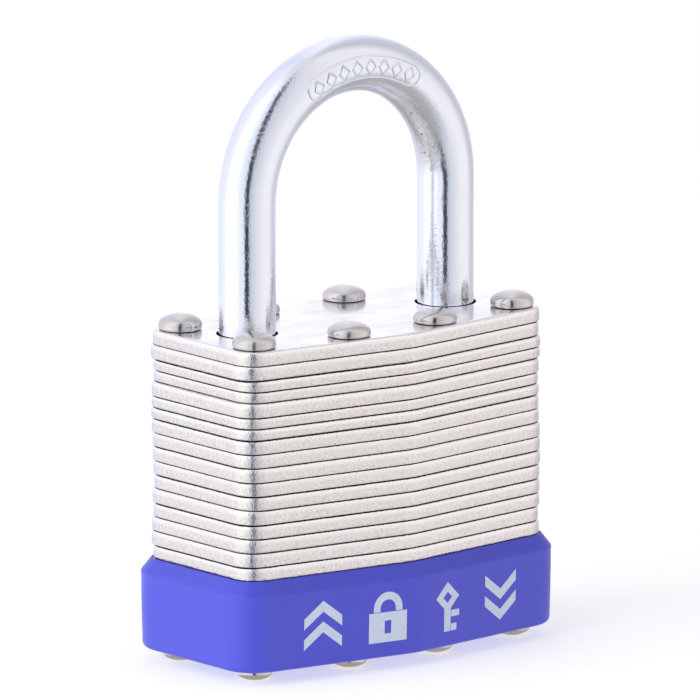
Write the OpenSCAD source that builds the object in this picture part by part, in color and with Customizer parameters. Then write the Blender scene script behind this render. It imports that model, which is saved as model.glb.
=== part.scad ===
// Laminated padlock: a riveted stack of steel plates, a plastic base cover, a double-locking
// shackle and a four-pin cylinder. It is drawn closed but unlocked, with the plug turned to its
// open position, so that the shackle is free to lift. Millimetres, +Z up; the origin is on the
// surface that the lower rivet heads stand on, under the middle of the body.

/* [Steel body] */
// Width of the plates, end to end
plate_w = 40.2; // [38:0.2:56]
// Depth of the plates where the two halves of each long side meet, before that ridge is softened
ridge_d = 22.2; // [20:0.1:30]
// Depth of the plates at their two ends
end_d = 17.3; // [16:0.1:20]
// Corner radius of the plates
corner_r = 2.4; // [1:0.1:4]
// Radius that softens the ridge
ridge_r = 5; // [2:1:20]
// Thickness of a standard plate
plate_t = 1.5; // [1.3:0.1:2]
// Thickness of a thin plate, as used round the levers
thin_t = 1.2; // [1:0.1:1.6]
// Standard plates beside the lock cylinder
cylinder_plates = 12; // [11:1:16]

/* [Rivets] */
// Diameter of a rivet's shank
rivet_d = 2.8; // [2:0.1:3.4]
// Diameter of a formed rivet head
rivet_head_d = 4.5; // [3.6:0.1:5]
// Height of a formed rivet head
rivet_head_h = 1.4; // [1:0.1:2]
// Flat on the crown of a head
rivet_flat_d = 1.6; // [0.8:0.1:2.4]
// Distance from the plate's edges to a rivet's axis
rivet_inset = 2.8; // [2.6:0.1:3.2]
// Radial gap between a rivet and the plates
rivet_clearance = 0.05; // [0.02:0.01:0.1]

/* [Base cover] */
// Height of the cover, from its underside to its rim
cover_h = 9.65; // [6:0.05:14]
// Thickness of the cover's wall
cover_wall = 1.25; // [0.8:0.05:2]
// Thickness of the cover's floor, which the rivets clamp
cover_floor = 0.9; // [0.8:0.1:2]
// Height of the bevel below the rim
cover_bevel_h = 1.4; // [0.5:0.1:3]
// Width of the rim at the top of the bevel
cover_rim = 0.2; // [0.15:0.05:0.6]
// Radius round the foot of the cover
cover_fillet = 0.9; // [0.3:0.1:1.2]

/* [Shackle] */
// Diameter of the shackle's bar
shackle_d = 6; // [5:0.1:7.2]
// Distance between the axes of the two legs
leg_spacing = 26.6; // [25.5:0.1:32]
// Height of the bar's centre line at the crown, above the top plate
crown_rise = 27; // [20:0.1:60]
// Radial gap between a leg and its bore
leg_clearance = 0.25; // [0.1:0.05:0.4]
// How far the toe reaches below the lever plates
toe_below_levers = 2.8; // [2:0.1:4]
// Height of the foot that keeps the heel in the body
foot_h = 2.3; // [1.5:0.1:4]
// How far the foot stands out round the heel
foot_rim = 0.6; // [0.4:0.1:0.8]
// Gap between the toe and the top plate when the shackle is fully up
toe_escape = 0.7; // [0.3:0.1:3]
// Wire of the spring under the heel
heel_wire_d = 0.8; // [0.5:0.1:1]

/* [Locking levers] */
// How far a lever's nose enters a leg
nose_bite = 1.4; // [1:0.1:1.8]
// Length of a lever's nose
nose_l = 1.9; // [1.6:0.1:2.4]
// Length of the thick part of a lever behind its nose
lever_block_l = 2.4; // [2:0.1:3]
// Length of the springs between the levers when the levers are in
lever_spring_l = 2.4; // [2:0.1:3]
// Diameter of the drive pins on the cam
drive_pin_d = 1.4; // [1:0.1:1.6]
// Gap between a lever and whatever it slides on
lever_clearance = 0.1; // [0.05:0.01:0.2]

/* [Cylinder] */
// Diameter of the plug
plug_d = 10; // [9:0.1:12]
// Wall of the housing round the plug
housing_wall = 1.4; // [1:0.1:2]
// Running gap between the plug and the housing
plug_clearance = 0.05; // [0.02:0.01:0.1]
// Diameter of the pins
pin_d = 2.8; // [2.2:0.1:3]
// Gap round the pins
pin_clearance = 0.05; // [0.02:0.01:0.1]
// Length of a driver pin
driver_l = 2.9; // [2.4:0.1:3.4]
// Length of a pin spring as fitted
pin_spring_l = 3.1; // [2.6:0.1:4]
// Lengths of the key pins, from the key's mouth inwards
key_pin_l = [3.6, 2.6, 3.1, 2.2];

/* [Hidden] */
$fn = 48;
e = 0.01;             // overcut, so that a cut ends clear of the face it leaves through
corner_steps = 6;     // flats that make up a rounded corner
ridge_steps = 4;      // flats that make up a softened ridge
wall = 1.2;           // least steel left between two cavities
cover_clearance = 0.05; // gap between the plates and the cover's wall

STEEL = [0.80, 0.79, 0.77];
NICKEL = [0.74, 0.72, 0.69];
CHROME = [0.82, 0.85, 0.90];
BLUE = [0.16, 0.17, 0.85];
BRASS = [0.80, 0.66, 0.35];
ZINC = [0.62, 0.63, 0.65];
SPRING = [0.55, 0.56, 0.58];

// ---- plates, from the bottom up: name, thickness, what is punched in them ----
function numbered(stem, n, digits = 1) = str(stem, (digits > 1 && n < 10) ? "0" : "", n);
PLATES = concat(
    [["bottom_plate", plate_t, "bottom"]],
    [["cylinder_plate_01", thin_t, "cylinder"]],
    [for (i = [2 : cylinder_plates + 1]) [numbered("cylinder_plate_", i, 2), plate_t, "cylinder"]],
    [for (i = [1 : 2]) [numbered("cam_plate_", i), plate_t, "cam"]],
    [for (i = [1 : 2]) [numbered("lever_plate_", i), thin_t, "lever"]],
    [["guide_plate_1", plate_t, "guide"]],
    [for (i = [2 : 3]) [numbered("guide_plate_", i), thin_t, "guide"]],
    [["guide_plate_4", plate_t, "guide"]],
    [["top_plate", plate_t, "guide"]]
);
function stack_h(n) = n <= 0 ? 0 : stack_h(n - 1) + PLATES[n - 1][1];
function first_of(kind, n = 0) = PLATES[n][2] == kind ? n : first_of(kind, n + 1);

// ---- levels ----
cover_z = rivet_head_h;
stack_z = cover_z + cover_floor;
function plate_z(n) = stack_z + stack_h(n);
top_z = plate_z(len(PLATES));
cylinder_z = plate_z(first_of("cylinder"));
cam_z = plate_z(first_of("cam"));
lever_z = plate_z(first_of("lever"));
guide_z = plate_z(first_of("guide"));
cylinder_h = cam_z - cylinder_z;
lever_room_h = guide_z - lever_z;

// ---- the outline that plates and cover share ----
taper = atan((ridge_d - end_d) / plate_w);
corner_x = plate_w / 2 - corner_r;
corner_y = end_d / 2 + corner_r * (tan(taper) - 1 / cos(taper));
ridge_y = ridge_d / 2 - ridge_r / cos(taper);
function arc(centre, r, from, to, steps) =
    [for (i = [0 : steps]) let (a = from + (to - from) * i / steps) centre + r * [cos(a), sin(a)]];
// Half of the outline, past the right-hand end and along the back, grown outwards by o
function back_half(o) = concat(
    arc([corner_x, corner_y], corner_r + o, 0, 90 - taper, corner_steps),
    arc([0, ridge_y], ridge_r + o, 90 - taper, 90 + taper, ridge_steps),
    arc([-corner_x, corner_y], corner_r + o, 90 + taper, 180, corner_steps)
);
function outline(o = 0) = let (half = back_half(o)) concat(half, -half);

// ---- rivets ----
rivet_r = rivet_d / 2;
rivet_hole_r = rivet_r + rivet_clearance;
dome_h = 0.7 * rivet_head_h;
head_undercut = 0.12;                    // how far a head draws in below its widest part
rivet_end_x = plate_w / 2 - rivet_inset;
rivet_mid_x = rivet_end_x / 3;
function rivet_y(x) = ridge_d / 2 - x * tan(taper) - rivet_inset / cos(taper);
RIVETS = [for (x = [rivet_end_x, rivet_mid_x]) for (sx = [-1, 1]) for (sy = [-1, 1])
    [sx * x, sy * rivet_y(x)]];

// ---- shackle and levers ----
leg_x = leg_spacing / 2;
leg_r = shackle_d / 2;
bore_r = leg_r + leg_clearance;
bow_z = top_z + crown_rise - leg_x;      // where the legs start to bend
notch_depth = nose_bite + 0.2;
notch_gap = 0.2;                         // of the notch above and below a lever
toe_z = lever_z - toe_below_levers;
lift = top_z - toe_z + toe_escape;       // full travel of the shackle
end_chamfer = 0.8;                       // on the toe and on the foot
neck_z = lever_z - notch_gap - lift;
neck_h = lever_room_h + 2 * notch_gap;
heel_z = neck_z - foot_h;
foot_r = leg_r + foot_rim;
foot_bore_r = foot_r + leg_clearance;
nose_in_x = leg_x - bore_r - 0.05;       // the nose's tip, lever in
lever_travel = leg_x - leg_r + nose_bite - nose_in_x;
nose_w = 2 * sqrt(pow(leg_r, 2) - pow(leg_r - nose_bite, 2)) - 0.3;
lever_room_w = 2 * (rivet_y(rivet_mid_x) - rivet_hole_r - wall);
lever_w = lever_room_w - 2 * lever_clearance;
block_x = nose_in_x - nose_l;            // outer face of a lever's block
inner_x = block_x - lever_block_l;       // its inner face
arm_x = inner_x - lever_spring_l;        // how far the other lever's arm reaches
lever_t = lever_room_h - 2 * lever_clearance;
drive_pin_r = drive_pin_d / 2;
crank_r = lever_travel / (2 * sin(45));  // a quarter turn, 45 degrees each side of centre

// ---- cylinder ----
plug_r = plug_d / 2;
housing_r = plug_r + housing_wall;
collar_r = plug_r + 0.6;
collar_h = 1.4;
plug_bore_r = plug_r + plug_clearance;
plug_seat = 0.4;                         // how far the bottom plate reaches in under the plug
cover_eye_r = plug_r + 0.8;              // hole in the cover, round the plug
pin_r = pin_d / 2;
chamber_r = pin_r + pin_clearance;
driver_x = plug_bore_r + 0.05;           // inner end of a driver pin
bible_x = driver_x + driver_l + pin_spring_l;
bible_w = 2 * (chamber_r + 1.5);
strip_t = 0.5;
chamber_floor = 0.6;                     // how far short of the plug's axis the chambers stop
pin_count = len(key_pin_l);
pin_pitch = (cylinder_h - 5.6) / pin_count;
function pin_z(i) = cylinder_z + 2.5 + pin_pitch * (i + 0.5);
housing_room = 0.1;                      // gap between the housing and the plates
plug_over = 1.3;                         // how far the plug stands out of the housing
clip_t = 0.6;
clip_groove_r = plug_r - 0.8;
clip_r = plug_r + 0.9;
cam_h = lever_z - cam_z - plug_over - 0.15;
tenon_w = 3.2;
cam_r = plug_r - 1.4;
open_turn = 90;                          // how far the plug is turned at rest

// ---- shared shapes ----
module slab(z, h, o = 0) {
    translate([0, 0, z]) linear_extrude(h) polygon(outline(o));
}

module rivet_holes(z, h) {
    for (p = RIVETS) translate([p[0], p[1], z]) cylinder(r = rivet_hole_r, h = h);
}

// A solid through rings of the outline, listed upwards, each [height, how far outwards]
module lofted(rings) {
    n = len(outline());
    function at(k, j) = k * n + j % n;
    sides = [for (k = [0 : len(rings) - 2]) for (j = [0 : n - 1])
        [at(k, j), at(k + 1, j), at(k + 1, j + 1), at(k, j + 1)]];
    polyhedron(
        [for (ring = rings) for (p = outline(ring[1])) [p[0], p[1], ring[0]]],
        concat([[for (j = [0 : n - 1]) j]], sides, [[for (j = [n - 1 : -1 : 0]) at(len(rings) - 1, j)]])
    );
}

// A coil spring along +Z from 0 to l
module coil(l, mean_r, wire_r, turns, steps = 16, sides = 6) {
    n = turns * steps;
    rise = l - 2 * wire_r;
    slope = atan(rise / turns / (2 * PI * mean_r));
    points = [for (i = [0 : n]) let (a = 360 * turns * i / n)
        for (j = [0 : sides - 1]) let (b = 360 * j / sides)
            [mean_r * cos(a), mean_r * sin(a), wire_r + rise * i / n]
            + wire_r * cos(b) * [cos(a), sin(a), 0]
            + wire_r * sin(b) * [sin(a) * sin(slope), -cos(a) * sin(slope), cos(slope)]];
    function at(i, j) = i * sides + j % sides;
    skin = [for (i = [0 : n - 1]) for (j = [0 : sides - 1])
        each [[at(i, j), at(i, j + 1), at(i + 1, j + 1)], [at(i, j), at(i + 1, j + 1), at(i + 1, j)]]];
    start = [[for (j = [sides - 1 : -1 : 0]) at(0, j)]];
    end = [[for (j = [0 : sides - 1]) at(n, j)]];
    polyhedron(points, concat(skin, start, end));
}

// ---- the body ----
module leg_bore(side, r, z, h) {
    translate([side * leg_x, 0, z]) cylinder(r = r, h = h);
}

module cylinder_room(z, h) {
    translate([0, 0, z]) cylinder(r = housing_r + housing_room, h = h);
    w = bible_w + 2 * housing_room;
    l = bible_x + strip_t + housing_room;
    translate([-l, -w / 2, z]) cube([l, w, h]);
}

module lever_room(z, h) {
    half = block_x + lever_travel + lever_clearance;
    translate([-half, -lever_room_w / 2, z]) cube([2 * half, lever_room_w, h]);
    w = nose_w + 2 * lever_clearance;
    translate([-leg_x, -w / 2, z]) cube([leg_spacing, w, h]);
}

// The foot needs a wider bore than the heel, and it stops under the lever plates
module plate(n) {
    z = plate_z(n) - e;
    h = PLATES[n][1] + 2 * e;
    kind = PLATES[n][2];
    wide = kind == "cylinder" || kind == "cam";
    color(STEEL) difference() {
        slab(plate_z(n), PLATES[n][1]);
        rivet_holes(z, h);
        if (kind == "bottom") translate([0, 0, z]) cylinder(r = plug_r - plug_seat, h = h);
        if (kind != "bottom") leg_bore(1, wide ? foot_bore_r : bore_r, z, h);
        if (kind != "bottom" && kind != "cylinder") leg_bore(-1, bore_r, z, h);
        if (kind == "cylinder") cylinder_room(z, h);
        if (kind == "cam") translate([0, 0, z]) cylinder(r = housing_r + housing_room, h = h);
        if (kind == "lever") lever_room(z, h);
    }
}

module base_cover() {
    foot = [for (a = [90 : -22.5 : 0])
        [cover_z + cover_fillet * (1 - sin(a)), cover_wall - cover_fillet * (1 - cos(a))]];
    shoulder = [[cover_z + cover_h - cover_bevel_h, cover_wall], [cover_z + cover_h, cover_rim]];
    color(BLUE) difference() {
        lofted(concat(foot, shoulder));
        slab(stack_z, cover_h, cover_clearance);
        rivet_holes(cover_z - e, cover_floor + 2 * e);
        translate([0, 0, cover_z - e]) cylinder(r = cover_eye_r, h = cover_floor + 2 * e);
    }
}

// Two heads on one shank, in half profile from the lower crown to the upper
module rivet() {
    flat_r = rivet_flat_d / 2;
    dome = rivet_head_d / 2 - flat_r;
    half = concat(
        [[0, 0]],
        [for (a = [90 : -15 : 0]) [flat_r + dome * cos(a), dome_h * (1 - sin(a))]],
        [[flat_r + dome - head_undercut, rivet_head_h], [rivet_r, rivet_head_h]]
    );
    upper = [for (i = [len(half) - 1 : -1 : 0]) [half[i][0], top_z + rivet_head_h - half[i][1]]];
    rotate_extrude() polygon(concat(half, upper));
}

module rivets() {
    color(NICKEL) for (p = RIVETS) translate([p[0], p[1], 0]) rivet();
}

// ---- the shackle ----
module bar_end(side, z, r, h) {
    translate([side * leg_x, 0, z]) cylinder(r1 = r - end_chamfer, r2 = r, h = end_chamfer);
    translate([side * leg_x, 0, z + end_chamfer]) cylinder(r = r, h = h - end_chamfer);
}

module notch(side) {
    rotate([0, 0, side > 0 ? 0 : 180]) translate([leg_x - leg_r - 1, -leg_r - 1, lever_z - notch_gap])
        cube([notch_depth + 1, shackle_d + 2, neck_h]);
}

module shackle() {
    color(CHROME) difference() {
        union() {
            bar_end(-1, toe_z, leg_r, bow_z - toe_z);
            bar_end(1, heel_z, foot_r, neck_z - heel_z);
            translate([leg_x, 0, neck_z - e]) cylinder(r = leg_r, h = bow_z - neck_z + e);
            translate([0, 0, bow_z]) rotate([90, 0, 0]) rotate_extrude(angle = 180)
                translate([leg_x, 0]) circle(r = leg_r);
        }
        notch(-1);
        notch(1);
        translate([leg_x, 0, neck_z]) difference() {
            cylinder(r = foot_r + 1, h = neck_h);
            translate([0, 0, -e]) cylinder(r = leg_r - notch_depth, h = neck_h + 2 * e);
        }
    }
}

module shackle_spring() {
    color(SPRING) translate([leg_x, 0, cylinder_z + e])
        coil(heel_z - cylinder_z - 2 * e, leg_r - 0.5, heel_wire_d / 2, 5, 20);
}

// ---- the levers, which the cam draws in ----
module lever() {
    slot_w = drive_pin_d + 0.3;
    slot_x = crank_r * sin(45);
    z = lever_z + lever_clearance;
    half = lever_w / 2;
    color(NICKEL) difference() {
        union() {
            translate([-nose_in_x, -nose_w / 2, z]) cube([nose_l + e, nose_w, lever_t]);
            translate([-block_x, -half, z]) cube([lever_block_l, lever_w, lever_t]);
            translate([-inner_x - e, -half, z]) cube([inner_x + arm_x + e, half - lever_clearance, lever_t]);
        }
        // slot for the drive pin, open towards the other lever
        translate([slot_x - slot_w / 2, -crank_r - drive_pin_r - 0.3, z - e])
            cube([slot_w, crank_r + drive_pin_r + 0.3 + e, lever_t + 2 * e]);
        // bevel on the nose, which a closing shackle pushes against
        translate([-nose_in_x, -nose_w, z + lever_t - 0.8]) rotate([0, -45, 0])
            cube([2, 2 * nose_w, 2]);
    }
}

module left_lever() { lever(); }
module right_lever() { rotate([0, 0, 180]) lever(); }

module lever_springs() {
    y = (lever_w / 2 + lever_clearance) / 2;
    for (side = [0, 180]) rotate([0, 0, side])
        color(SPRING) translate([arm_x + e, -y, lever_z + lever_room_h / 2]) rotate([0, 90, 0])
            coil(lever_spring_l - 2 * e, 0.75, 0.15, 5, 14);
}

// ---- the cylinder ----
module cylinder_housing() {
    color(ZINC) difference() {
        union() {
            translate([0, 0, cylinder_z]) cylinder(r = housing_r, h = cylinder_h);
            translate([-bible_x, -bible_w / 2, cylinder_z]) cube([bible_x, bible_w, cylinder_h]);
        }
        translate([0, 0, cylinder_z - e]) cylinder(r = plug_bore_r, h = cylinder_h + 2 * e);
        translate([0, 0, cylinder_z - e]) cylinder(r = collar_r + plug_clearance, h = collar_h + 0.1 + e);
        for (i = [0 : pin_count - 1]) translate([-bible_x - e, 0, pin_z(i)]) rotate([0, 90, 0])
            cylinder(r = chamber_r, h = bible_x - plug_r / 2);
    }
}

module spring_cover() {
    color(BRASS) translate([-bible_x - strip_t, -bible_w / 2, cylinder_z])
        cube([strip_t, bible_w, cylinder_h]);
}

// The keyway in cross-section, with its pins' side at -X
module keyway_outline() {
    s = plug_r / 5;
    polygon(s * [[-3.9, -0.8], [-1, -0.8], [-1, -0.3], [0.4, -0.3], [0.4, -0.8], [3.3, -0.8],
        [3.3, 0.8], [1.7, 0.8], [1.7, 0.3], [0.9, 0.3], [0.9, 0.8], [-3.9, 0.8]]);
}

module plug() {
    color(BRASS) rotate([0, 0, open_turn]) difference() {
        union() {
            translate([0, 0, cylinder_z + 0.05]) cylinder(r = plug_r, h = cylinder_h + plug_over - 0.05);
            translate([0, 0, cylinder_z + 0.05]) cylinder(r = collar_r, h = collar_h);
            translate([-tenon_w / 2, -tenon_w / 2, cam_z + plug_over - e])
                cube([tenon_w, tenon_w, cam_h - 0.1 + e]);
        }
        translate([0, 0, cylinder_z - e]) linear_extrude(cylinder_h - 1.5) keyway_outline();
        for (i = [0 : pin_count - 1]) translate([-plug_r - 1, 0, pin_z(i)]) rotate([0, 90, 0])
            cylinder(r = chamber_r, h = plug_r + 1 - chamber_floor);
        translate([0, 0, cam_z + 0.05]) difference() {
            cylinder(r = plug_r + 1, h = clip_t + 0.1);
            translate([0, 0, -e]) cylinder(r = clip_groove_r, h = clip_t + 0.1 + 2 * e);
        }
    }
}

module plug_clip() {
    color(SPRING) rotate([0, 0, open_turn]) translate([0, 0, cam_z + 0.1]) difference() {
        cylinder(r = clip_r, h = clip_t);
        translate([0, 0, -e]) cylinder(r = clip_groove_r + 0.03, h = clip_t + 2 * e);
        translate([0, -1.5 * clip_groove_r / 2, -e]) cube([clip_r + 1, 1.5 * clip_groove_r, clip_t + 2 * e]);
    }
}

module plug_cam() {
    z = cam_z + plug_over;
    color(NICKEL) difference() {
        union() {
            translate([0, 0, z]) cylinder(r = cam_r, h = cam_h);
            for (a = [-45, 135]) rotate([0, 0, a]) translate([crank_r, 0, z + cam_h - e])
                cylinder(r = drive_pin_r, h = lever_z + lever_clearance + lever_t - z - cam_h + e);
        }
        rotate([0, 0, open_turn]) translate([-tenon_w / 2, -tenon_w / 2, z - e])
            cube([tenon_w, tenon_w, cam_h - 0.1 + e]);
    }
}

// A pin along +X from 0 to l, its first end pointed and its other end rounded off
module tumbler(l, point) {
    rotate([0, 90, 0]) rotate_extrude()
        polygon([[0, 0], [pin_r - point, 0], [pin_r, point], [pin_r, l - 0.3], [pin_r - 0.3, l], [0, l]]);
}

// Key pins lie in the turned plug; l runs inwards from the plug's surface
module key_pin(i) {
    l = key_pin_l[i];
    color(BRASS) rotate([0, 0, open_turn]) translate([-plug_r + 0.05 + l, 0, pin_z(i)])
        rotate([0, 0, 180]) tumbler(l, 1);
}

module driver_pin(i) {
    color(NICKEL) translate([-driver_x, 0, pin_z(i)]) rotate([0, 0, 180]) tumbler(driver_l, 0.3);
}

module pin_spring(i) {
    color(SPRING) translate([-bible_x + e, 0, pin_z(i)]) rotate([0, 90, 0])
        coil(pin_spring_l - 2 * e, pin_r - 0.3, 0.13, 5, 14);
}

for (n = [0 : len(PLATES) - 1]) plate(n);
base_cover();
rivets();
shackle();
shackle_spring();
left_lever();
right_lever();
lever_springs();
cylinder_housing();
spring_cover();
plug();
plug_clip();
plug_cam();
for (i = [0 : pin_count - 1]) {
    key_pin(i);
    driver_pin(i);
    pin_spring(i);
}
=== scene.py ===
# %% [markdown]
# # A laminated padlock
#
# The padlock is a stack of punched steel plates held by eight rivets, with a plastic cover round
# its foot and a bent steel bar for its shackle. The engineering model comes in first as a fixed
# frame: it says where every piece is and how it moves. This file gives each visible piece its
# finished mesh and its finish, and lets it ride on the body that the frame moves.

# %% Load the frame
import math

import bmesh
import bpy
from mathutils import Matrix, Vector


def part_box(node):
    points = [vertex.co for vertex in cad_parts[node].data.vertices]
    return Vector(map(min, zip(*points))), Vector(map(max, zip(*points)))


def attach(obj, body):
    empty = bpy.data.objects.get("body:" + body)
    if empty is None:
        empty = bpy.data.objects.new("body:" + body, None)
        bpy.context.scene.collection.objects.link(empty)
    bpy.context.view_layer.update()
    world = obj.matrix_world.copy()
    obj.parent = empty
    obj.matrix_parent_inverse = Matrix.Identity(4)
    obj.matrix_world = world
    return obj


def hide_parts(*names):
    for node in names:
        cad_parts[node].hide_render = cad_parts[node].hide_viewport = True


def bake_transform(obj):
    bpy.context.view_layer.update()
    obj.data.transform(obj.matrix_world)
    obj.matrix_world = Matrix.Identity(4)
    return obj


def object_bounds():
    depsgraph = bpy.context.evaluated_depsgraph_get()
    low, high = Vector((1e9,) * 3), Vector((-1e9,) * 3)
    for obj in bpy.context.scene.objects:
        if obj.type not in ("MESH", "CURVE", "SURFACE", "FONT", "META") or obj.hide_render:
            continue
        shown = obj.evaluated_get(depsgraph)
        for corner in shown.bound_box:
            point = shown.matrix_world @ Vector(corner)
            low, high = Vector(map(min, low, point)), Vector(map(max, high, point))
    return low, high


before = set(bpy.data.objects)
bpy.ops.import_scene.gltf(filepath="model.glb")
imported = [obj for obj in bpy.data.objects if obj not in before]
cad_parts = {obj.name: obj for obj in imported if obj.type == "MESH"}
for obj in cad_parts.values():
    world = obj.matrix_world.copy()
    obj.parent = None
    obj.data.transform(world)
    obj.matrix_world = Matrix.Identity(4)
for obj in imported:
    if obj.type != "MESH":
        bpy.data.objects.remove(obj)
cad_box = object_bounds()
MM = 0.001
print("model box", [tuple(round(v / MM, 2) for v in corner) for corner in cad_box])

# %% [markdown]
# ## Camera
#
# The picture is taken from the left and a little above, from far away with a long lens, so that
# parallel edges stay almost parallel. Angles are those of the frame: 0 looks along +Y.

# %% Camera
AZIMUTH = math.radians(-38.9)
ELEVATION = math.radians(11.7)
DISTANCE = 2.2
LENS = 1082
AIM_SHIFT = Vector((0.7, 0.3, -1.0)) * MM  # from the middle of the model box
aim = (Vector(cad_box[0]) + Vector(cad_box[1])) / 2 + AIM_SHIFT
away = Vector((
    math.sin(AZIMUTH) * math.cos(ELEVATION),
    -math.cos(AZIMUTH) * math.cos(ELEVATION),
    math.sin(ELEVATION),
))
camera = bpy.data.objects.new("camera", bpy.data.cameras.new("camera"))
camera.data.lens = LENS
camera.data.sensor_width = 36
camera.data.clip_end = 20
camera.location = aim + away * DISTANCE
camera.rotation_euler = away.to_track_quat("Z", "Y").to_euler()
bpy.context.scene.collection.objects.link(camera)
bpy.context.scene.camera = camera
bpy.context.scene.view_settings.view_transform = "Standard"

# %% [markdown]
# ## Helpers for node trees
#
# Geometry trees and shader trees are built the same way: a node is added, its settings are set,
# and each of its inputs gets either a value or a link. One function does all of that.


# %% Node helpers
def add(tree, kind, inputs=None, **settings):
    """Adds a node, sets its properties, and gives each input a value or a link."""
    node = tree.nodes.new(kind)
    for name, value in settings.items():
        setattr(node, name, value)
    for key, value in (inputs or {}).items():
        if isinstance(value, bpy.types.NodeSocket):
            tree.links.new(value, node.inputs[key])
        else:
            node.inputs[key].default_value = value
    return node


def output(tree, kind, inputs=None, **settings):
    """Adds a node and hands on its first output."""
    return add(tree, kind, inputs, **settings).outputs[0]


def new_group(name, kind, inputs, outputs):
    """A node group with its sockets; inputs are (name, type, default) and outputs (name, type)."""
    tree = bpy.data.node_groups.new(name, kind)
    for label, socket_type, default in inputs:
        socket = tree.interface.new_socket(label, in_out="INPUT", socket_type=socket_type)
        if default is not None:
            socket.default_value = default
    for label, socket_type in outputs:
        tree.interface.new_socket(label, in_out="OUTPUT", socket_type=socket_type)
    return tree, tree.nodes.new("NodeGroupInput").outputs, tree.nodes.new("NodeGroupOutput").inputs


FLOAT, VECTOR = "NodeSocketFloat", "NodeSocketVector"
GEOMETRY, MATERIAL, OBJECT = "NodeSocketGeometry", "NodeSocketMaterial", "NodeSocketObject"


def geometry_tree(name, inputs):
    """A Geometry Nodes group that takes a mesh and a material beside its own inputs."""
    every = [("Geometry", GEOMETRY, None), *inputs, ("Material", MATERIAL, None)]
    return new_group(name, "GeometryNodeTree", every, [("Geometry", GEOMETRY)])


# %% [markdown]
# Formulas in a tree are nodes too. With a function for each kind of sum they read like arithmetic.


# %% Arithmetic with nodes
def math_node(tree, operation, *values):
    return output(tree, "ShaderNodeMath", dict(enumerate(values)), operation=operation)


def times(tree, first, *others):
    for other in others:
        first = math_node(tree, "MULTIPLY", first, other)
    return first


def plus(tree, first, *others):
    for other in others:
        first = math_node(tree, "ADD", first, other)
    return first


def minus(tree, first, second):
    return math_node(tree, "SUBTRACT", first, second)


def spread(tree, value, low, high, to_low=0, to_high=1):
    """Moves the range low to high onto 0 to 1, or to_low to to_high, and stops at its ends."""
    return output(tree, "ShaderNodeMapRange", {0: value, 1: low, 2: high, 3: to_low, 4: to_high})


def scaled(tree, vector, factor):
    return output(tree, "ShaderNodeVectorMath", {0: vector, "Scale": factor}, operation="SCALE")


def vector_sum(tree, first, second):
    return output(tree, "ShaderNodeVectorMath", {0: first, 1: second}, operation="ADD")


def point(tree, **axes):
    """A vector from numbers for X, Y and Z."""
    return output(tree, "ShaderNodeCombineXYZ", axes)


def here_xyz(tree):
    """X, Y and Z of each point of the geometry."""
    return add(tree, "ShaderNodeSeparateXYZ", {0: output(tree, "GeometryNodeInputPosition")}).outputs


def attribute(tree, name, kind="FLOAT"):
    return output(tree, "GeometryNodeInputNamedAttribute", {"Name": name}, data_type=kind)


def stored(tree, geometry, name, value, kind="FLOAT", **inputs):
    return output(tree, "GeometryNodeStoreNamedAttribute", {
        "Geometry": geometry, "Name": name, "Value": value, **inputs}, data_type=kind, domain="POINT")


def joined(tree, *parts):
    join = add(tree, "GeometryNodeJoinGeometry")
    for part in parts:
        tree.links.new(part, join.inputs[0])
    return join.outputs[0]


def moved_by(tree, geometry, offset):
    return output(tree, "GeometryNodeSetPosition", {"Geometry": geometry, "Offset": offset})


def moved_to(tree, geometry, position):
    return output(tree, "GeometryNodeSetPosition", {"Geometry": geometry, "Position": position})


def dress(tree, geometry, given, result):
    """Ends a tree: the geometry gets the piece's material and goes out."""
    dressed = output(tree, "GeometryNodeSetMaterial", {"Geometry": geometry, "Material": given["Material"]})
    tree.links.new(dressed, result["Geometry"])


def make_real(tree, geometry):
    return output(tree, "GeometryNodeRealizeInstances", {0: geometry})


# %% [markdown]
# ## Light
#
# Polished steel shows what stands round it more than its own colour. The studio is a white room
# with a bright wall on the left, a duller and warmer one on the right, and a narrow dark slot
# between them, which draws the thin dark lines down the shackle's legs. A world shader can hold
# all of it: a colour ramp that runs once round the horizon. The camera itself sees plain white.

# %% Studio
# Share of a full turn from behind the object, clockwise from above by way of its left side
ROOM = [
    (0.00, (0.87, 0.875, 0.94)),
    (0.07, (0.70, 0.71, 0.84)),
    (0.14, (0.78, 0.80, 0.92)),
    (0.215, (0.83, 0.83, 0.87)),
    (0.27, (1.00, 1.00, 1.00)),
    (0.36, (1.00, 1.00, 1.00)),
    (0.39, (0.90, 0.92, 0.97)),
    (0.43, (0.74, 0.78, 0.88)),
    (0.466, (0.72, 0.75, 0.85)),
    (0.482, (0.05, 0.05, 0.07)),
    (0.514, (0.05, 0.05, 0.07)),
    (0.530, (0.50, 0.52, 0.58)),
    (0.60, (0.65, 0.65, 0.69)),
    (0.69, (0.80, 0.77, 0.78)),
    (0.77, (0.80, 0.78, 0.79)),
    (0.85, (0.52, 0.51, 0.54)),
    (0.93, (0.56, 0.57, 0.66)),
    (1.00, (0.87, 0.875, 0.94)),
]
ROOM_LIGHT = 1.28
UPPER_LIGHT = 0.95 * ROOM_LIGHT
SKY_LIGHT = 0.84
GROUND_LIGHT = 0.50
SOFT_SHARE = 0.62  # of the room's light that reaches matt surfaces; the lamp on the left adds to it


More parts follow.
